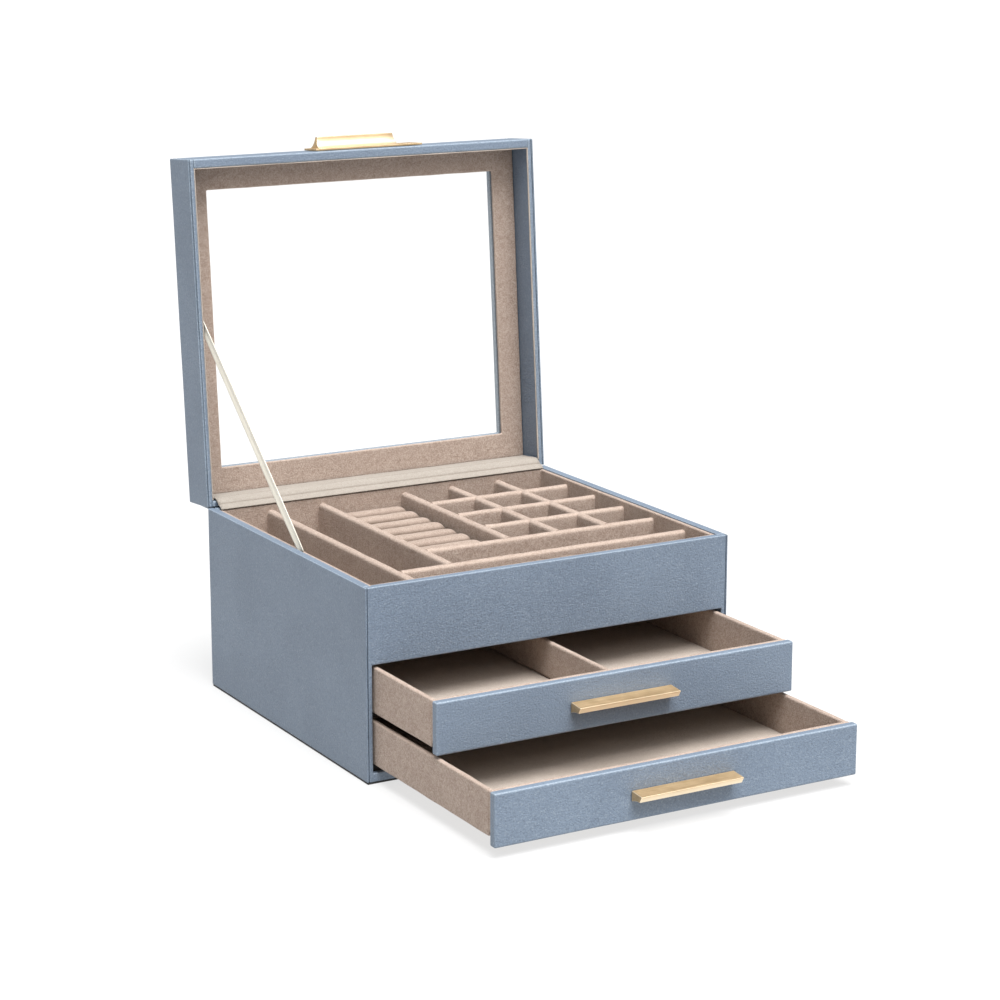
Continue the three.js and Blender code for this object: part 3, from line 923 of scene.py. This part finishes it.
metalGrid = {"cell": 8 * mm, "margin": 0.2 * mm, "segments": 3}


# a metal bar with its edges rounded and its faces in a grid, made a piece
def finishBar(name, bm, body, node, ease, cuts, matrix=None):
    roundEdges(bm, ease, metalGrid["segments"])
    gridCut(bm, cuts, metalGrid["cell"], ease + metalGrid["margin"])
    markEdges(bm)
    if matrix is not None:
        bmesh.ops.transform(bm, matrix=matrix, verts=bm.verts)
    newPiece(name, bm, "brass", body, (node,))


pullLook = {"foot": 6 * mm, "nose": 3.5 * mm, "slope": 0.9 * mm, "undercut": 2 * mm, "ease": 0.42 * mm}


def buildDrawerPull(drawer):
    node = drawer + "_pull"
    low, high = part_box(node)
    reach = low.y - high.y
    noseFoot = reach + pullLook["undercut"]
    noseBottom = -pullLook["slope"] - pullLook["nose"]
    under = bentLine((0, -pullLook["foot"]), (noseFoot / 2, noseBottom), (noseFoot, noseBottom), 8)
    outline = [(0, 0)] + under + [(reach, -pullLook["slope"])]
    bm = bmesh.new()
    addExtrusion(bm, [(high.y + y, high.z + z) for y, z in outline], low.x, high.x)
    finishBar(node + "_bar", bm, drawer, node, pullLook["ease"], cutsOf(low, high))


lidPullLook = {
    "plate": 1.2 * mm,
    "width": 17 * mm,
    "tip": 2.4 * mm,
    "margin": 2 * mm,
    "waist": 0.62,
    "ridge": (-28 * mm, 26 * mm),
    "lean": 1.3 * mm,  # how far the ridge's ends lean in towards its tip
    "ease": 0.28 * mm,
}


def buildLidPull():
    low, high = shutBox("lid_pull")
    middle = (low.z + high.z) / 2
    half = lidPullLook["width"] / 2
    bm = bmesh.new()
    foot = half - lidPullLook["margin"]
    tip = lidPullLook["tip"] / 2
    plateY = high.y - lidPullLook["plate"]
    sides = (middle - half, middle + half)
    plate = [(high.y, sides[0]), (plateY, sides[0]), (plateY, sides[1]), (high.y, sides[1])]
    addExtrusion(bm, plate, low.x, high.x)
    waistY = plateY + (low.y - plateY) * (1 - lidPullLook["waist"]) * 0.5
    rise = bentLine((plateY, -foot), (waistY, -tip * 1.5), (low.y, -tip), 10)
    fall = [(y, -z) for y, z in reversed(rise)]
    first = len(bm.verts)
    addExtrusion(bm, [(y, middle + z) for y, z in rise + fall], *lidPullLook["ridge"])
    bm.verts.ensure_lookup_table()
    centre = sum(lidPullLook["ridge"]) / 2
    for vertex in bm.verts[first:]:
        share = (plateY - vertex.co.y) / (plateY - low.y)
        vertex.co.x += math.copysign(lidPullLook["lean"] * share, centre - vertex.co.x)
    finishBar("lid_pull_bar", bm, "lid", "lid_pull", lidPullLook["ease"], cutsOf(low, high), openLid)


# drawers
drawerLook = {
    "sideStart": 3.1 * mm,  # of the sides behind the floor's front edge
    "bedGap": 0.05 * mm,
    "endRadius": 0.9 * mm,
    "bedRadius": 0.6 * mm,
    "dividerRadius": 1.35 * mm,
}


def buildDrawer(drawer):
    frontNode = drawer + "_front"
    wrapped(frontNode + "_board", drawer, (frontNode,), "leatherette", cutsOf(*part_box(frontNode)))
    floorLow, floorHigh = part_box(drawer + "_floor")
    for side in ("_side_left", "_side_right"):
        low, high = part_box(drawer + side)
        low.z, low.y = floorLow.z, floorLow.y + drawerLook["sideStart"]
        wrapped(drawer + side + "_board", drawer, (drawer + side,), "velvet", cutsOf(low, high))
        inner = min(abs(low.x), abs(high.x)) - drawerLook["bedGap"]
    for end in ("_inner_front", "_back"):
        cuts = cutsOf(*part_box(drawer + end))
        radius = drawerLook["endRadius"]
        wrapped(drawer + end + "_board", drawer, (drawer + end,), "velvet", cuts, radius=radius)
    floorLow.x, floorHigh.x = -inner, inner
    bed, radius = cutsOf(floorLow, floorHigh), drawerLook["bedRadius"]
    wrapped(drawer + "_bed", drawer, (drawer + "_floor",), "velvet", bed, radius=radius, finish="suede")
    buildDrawerPull(drawer)


buildDrawer("upper_drawer")
buildDrawer("lower_drawer")
wrapped(
    "upper_drawer_middle_board",
    "upper_drawer",
    ("upper_drawer_divider",),
    "velvet",
    cutsOf(*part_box("upper_drawer_divider")),
    radius=drawerLook["dividerRadius"],
)
print("drawers ready")


# lid
lidLook = {
    "skin": 0.95 * mm,
    "seam": 0.3 * mm,
    "gap": 0.05 * mm,  # between boards that meet
    "overlap": 8 * mm,  # of the frame and the lining on the glass
    "frameRadius": 0.9 * mm,
    "liningRadius": 0.8 * mm,
    "trim": 0.55 * mm,
    "trimLow": 0.3 * mm,
    "trimHigh": 1.4 * mm,
    "trimBack": 0.5 * mm,
    "trimRadius": 0.22 * mm,
}
lidLow, lidHigh = shutBox("lid_top_frame")
rimZ = shutBox("lid_left_wall")[0].z
lidInner = shutBox("lid_right_wall")[0].x
skinX = lidHigh.x - lidLook["skin"]
for node, out in (("lid_left_wall", -1), ("lid_right_wall", 1)):
    for part, replaced, outerX, innerX in (
        ("_skin", (), lidHigh.x, skinX),
        ("_board", (node,), skinX - lidLook["seam"], lidInner),
    ):
        cuts = [sorted((out * outerX, out * innerX)), [lidLow.y, lidHigh.y], [rimZ, lidHigh.z]]
        wrapped(node + part, "lid", replaced, "leatherette", cuts, matrix=openLid)

endX = lidInner - lidLook["gap"]
for node in ("lid_front_wall", "lid_back_wall"):
    low, high = shutBox(node)
    low.x, high.x = -endX, endX
    wrapped(node + "_board", "lid", (node,), "leatherette", cutsOf(low, high), matrix=openLid)

glassLow, glassHigh = shutBox("window_glass")


def buildWindowFrame(node, slot, reach, radius):
    low, high = shutBox(node)
    holeX = glassHigh.x - lidLook["overlap"]
    holeY = (glassLow.y + lidLook["overlap"], glassHigh.y - lidLook["overlap"])
    xs = [-reach, -holeX, holeX, reach]
    ys = [low.y, holeY[0], holeY[1], high.y]

    def solid(x, y, z):
        return abs(x) > holeX or not holeY[0] < y < holeY[1]

    wrapped(node + "_board", "lid", (node,), slot, [xs, ys, [low.z, high.z]], solid, radius, openLid)


buildWindowFrame("lid_top_frame", "leatherette", endX, lidLook["frameRadius"])
buildWindowFrame("lid_lining_panel", "velvet", shutBox("lid_lining_panel")[1].x, lidLook["liningRadius"])


# a thin pale trim inside the lid's rim
def buildLidTrim():
    frontY = shutBox("lid_front_wall")[1].y + lidLook["gap"]
    thick = lidLook["trim"]
    xs = [-endX, thick - endX, endX - thick, endX]
    ys = [frontY, frontY + thick, shutBox("lid_back_wall")[0].y - lidLook["trimBack"]]
    zs = [rimZ + lidLook["trimLow"], rimZ + lidLook["trimHigh"]]

    def solid(x, y, z):
        return abs(x) > endX - thick or y < frontY + thick

    wrapped("lid_trim", "lid", (), "velvet", [xs, ys, zs], solid, lidLook["trimRadius"], openLid, "suede")


buildLidTrim()
buildLidPull()
print("lid ready")


# cloth over the hinge, and the ribbon
hingeLook = {
    "bands": 3,
    "pleat": 0.5 * mm,
    # strength of the painted shade in the seams between the bands
    "fold": 0.3,
    "sag": 0.2 * mm,
    "columns": 60,
    "spread": 2.2 * mm,  # of the inner cloth past its node's ends
    "thickness": 0.7 * mm,
    "outerThickness": 0.6 * mm,
    # millimetres behind and above the hinge's line
    "inner": ((-7.6, -0.3), (-6.8, 0.5), (-3.6, 2.3), (-0.4, 4.3), (3.5, 4.7), (10, 3.85), (19.1, 3.15)),
    "innerBend": ((-6.8, 0), (0.4, 3.4)),
    "outerStart": 0.5,
    "outer": ((0.55, -8), (0.9, -3.4), (4.2, -1.75), (10, -1.8)),
    "outerEnd": -2.0,
    "outerBend": ((0.7, -5.5), (5, -1.6)),
}


def straightAcross(along, share):
    return Vector((1, 0, 0))


# 0 in the seams between the hinge cloth's bands, 1 in their middles
def bandWave(along):
    return abs(math.sin(math.pi * hingeLook["bands"] * along))


# points on the box's middle, behind and above the hinge's line
def nearHinge(places):
    return [(0, hingePoint.y + back * mm, hingePoint.z + up * mm) for back, up in places]


# a strip of cloth made a piece, laid between the case and the lid and baked in place
def layStrip(name, bm, node, path, bend, slot, finish=None):
    piece = newPiece(name, bm, slot, None, (node,), finish)
    length = sum((b - a).length for a, b in zip(path, path[1:]))
    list(nearHinge(bend))
    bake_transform(piece)


def buildHingeCloth():
    low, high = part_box("hinge_cloth")
    path = smoothPath(nearHinge(hingeLook["inner"]), 14)
    width = (high.x - low.x) + hingeLook["spread"]

    def pleats(along, over):
        sag = noise.noise(Vector((over * 9, along * 2, 3))) * hingeLook["sag"]
        return -hingeLook["pleat"] * min(1.0, 2.5 * bandWave(along)) + sag

    # painted shade in the seams between the bands
    def foldShading(along):
        return hingeLook["fold"] * max(0.0, 1 - 3 * bandWave(along))

    columns, bend = hingeLook["columns"], hingeLook["innerBend"]
    bm = clothStrip(path, straightAcross, width, hingeLook["thickness"], columns, pleats, foldShading)
    layStrip("hinge_inner_cloth", bm, "hinge_cloth", path, bend, "velvet", "hinge_suede")


def buildHingeCover():
    low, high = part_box("hinge_cover")
    foot = (0, hingePoint.y + hingeLook["outerStart"] * mm, low.z)
    head = (0, high.y, hingePoint.z + hingeLook["outerEnd"] * mm)
    path = smoothPath([foot, *nearHinge(hingeLook["outer"]), head], 7)
    width = high.x - low.x
    columns, bend = hingeLook["columns"], hingeLook["outerBend"]
    bm = clothStrip(path, straightAcross, width, hingeLook["outerThickness"], columns, lambda a, o: 0)
    layStrip("hinge_outer_cloth", bm, "hinge_cover", path, bend, "leatherette")


ribbonLook = {
    "width": 5.8 * mm,
    "thickness": 0.45 * mm,
    "crease": 0.7 * mm,
    "tuck": 6.5 * mm,
    "hold": 1.2 * mm,
    "twist": 9,
    "rows": 60,
    "columns": 8,
}


def buildRibbon():
    low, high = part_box("stay_ribbon")
    middleX = (low.x + high.x) / 2
    corners = [v.co for v in frame["nodes"]["stay_ribbon"].data.vertices]
    lowest = min(corners, key=lambda c: c.y)
    nearRim = min(corners, key=lambda c: c.z)
    highest = max(corners, key=lambda c: c.z)
    farthest = max(corners, key=lambda c: c.y)
    foot = Vector((middleX, (lowest.y + nearRim.y) / 2, (lowest.z + nearRim.z) / 2))
    head = Vector((middleX, (highest.y + farthest.y) / 2, (highest.z + farthest.z) / 2))
    along = (head - foot).normalized()
    start = foot - along * ribbonLook["tuck"]
    end = head + along * ribbonLook["hold"]
    path = [start.lerp(end, i / ribbonLook["rows"]) for i in range(ribbonLook["rows"] + 1)]

    def across(direction, share):
        turned = math.radians(ribbonLook["twist"]) * math.sin(math.pi * share) ** 0.4
        return Matrix.Rotation(turned, 3, direction) @ direction.cross(Vector((1, 0, 0))).normalized()

    def fold(length, over):
        return -ribbonLook["crease"] * (1 - abs(2 * over - 1))

    bm = clothStrip(path, across, ribbonLook["width"], ribbonLook["thickness"], ribbonLook["columns"], fold)
    piece = newPiece("ribbon", bm, "satin", None, ("stay_ribbon",))
    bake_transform(piece)


buildHingeCloth()
buildHingeCover()
buildRibbon()
print("cloth ready")


# screws
screwLook = {
    "Head": 2.6 * mm,
    "Crown": 1.7 * mm,
    "HeadDepth": 1.7 * mm,
    "Shank": 1.2 * mm,
    "SlotWidth": 0.65 * mm,
    "SlotLength": 2.7 * mm,
    "SlotDepth": 0.9 * mm,
}


# crosshead screws standing on the given points, their heads towards the back
def buildScrews(body, matrix=None):
    nodes = [n for n in frame["nodes"] if "_screw_" in n and bodyOf[n] == body]
    points, length = [], 0
    for node in nodes:
        low, high = shutBox(node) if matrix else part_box(node)
        length = high.y - low.y - screwLook["HeadDepth"]
        points.append(((low.x + high.x) / 2, high.y - screwLook["HeadDepth"], (low.z + high.z) / 2))
    mesh = bpy.data.meshes.new("screwPoints")
    mesh.from_pydata(points, [], [])
    g = Growth("screwGrowth_" + body, {**screwLook, "ShankLength": length})
    rings = {"Vertices": 32}
    sockets = {**rings, "Radius Top": g["Crown"], "Radius Bottom": g["Head"], "Depth": g["HeadDepth"]}
    head = g.add("GeometryNodeMeshCone", {}, sockets)
    top = g.add("ShaderNodeCombineXYZ", {}, {"Z": g["HeadDepth"]})
    for quarter in (0.0, 0.5 * math.pi):
        sockets = {"X": g["SlotLength"], "Y": g["SlotWidth"], "Z": g["SlotDepth"]}
        size = g.add("ShaderNodeCombineXYZ", {}, sockets)
        bar = g.add("GeometryNodeMeshCube", {}, {"Size": size})
        sockets = {"Geometry": bar, "Translation": top, "Rotation": (0.0, 0.0, quarter)}
        bar = g.add("GeometryNodeTransform", {}, sockets)
        settings = {"operation": "DIFFERENCE", "solver": "EXACT"}
        head = g.add("GeometryNodeMeshBoolean", settings, {0: head, 1: bar})
    sockets = {**rings, "Radius": g["Shank"], "Depth": g["ShankLength"]}
    shank = g.add("GeometryNodeMeshCylinder", {}, sockets)
    down = g.add("ShaderNodeCombineXYZ", {}, {"Z": g["Shank"] * 0.3 - g["ShankLength"] * 0.5})
    shank = g.add("GeometryNodeTransform", {}, {"Geometry": shank, "Translation": down})
    whole = g.add("GeometryNodeMeshBoolean", {"operation": "UNION", "solver": "EXACT"}, {1: head})
    g.tree.links.new(shank.socket, whole.socket.node.inputs[1])
    turned = g.add("GeometryNodeTransform", {}, {"Geometry": whole, "Rotation": (-0.5 * math.pi, 0.0, 0.0)})
    screws = g.add("GeometryNodeInstanceOnPoints", {}, {"Points": g["Geometry"], "Instance": turned})
    g.ends(screws, "brass")
    bm = g.grown(mesh)
    bmesh.ops.remove_doubles(bm, verts=bm.verts, dist=hair)
    markEdges(bm)
    if matrix:
        bmesh.ops.transform(bm, matrix=matrix, verts=bm.verts)
    newPiece(body + "_screws", bm, "brass", body, nodes)


buildScrews("upper_drawer")
buildScrews("lower_drawer")
buildScrews("lid", openLid)
print("screws ready")

# the CAD nodes that stay in sight get their finish
for node, obj in frame["nodes"].items():
    if not obj.hide_render:
        obj.data.materials.clear()
        obj.data.materials.append(finishes[slotOf[node]])
